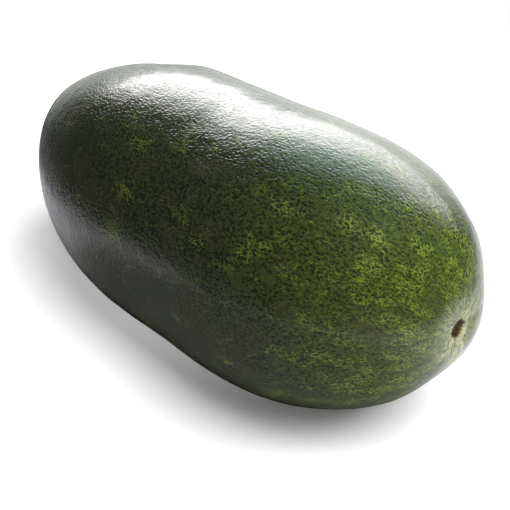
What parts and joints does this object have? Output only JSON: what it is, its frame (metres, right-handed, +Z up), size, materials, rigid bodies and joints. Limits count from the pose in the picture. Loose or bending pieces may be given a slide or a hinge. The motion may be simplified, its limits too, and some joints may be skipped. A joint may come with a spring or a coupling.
{
  "type": "ash gourd",
  "caption": "Whole ash gourd lying on its side: long, slightly waisted body, dimpled blossom scar, stem scar and a flat ground spot.",
  "frame": {"origin": "middle of the bottom of the gourd's bounding box, on the surface that it rests on", "axes": "+X along the gourd's length from the stem end to the blossom end, +Z up as it lies, +Y across"},
  "size_m": [0.4432, 0.215, 0.213],
  "materials": {
    "gourd_skin": "gloss"
  },
  "bodies": {
    "root": {"gourd": "gourd_skin"}
  },
  "joints": []
}
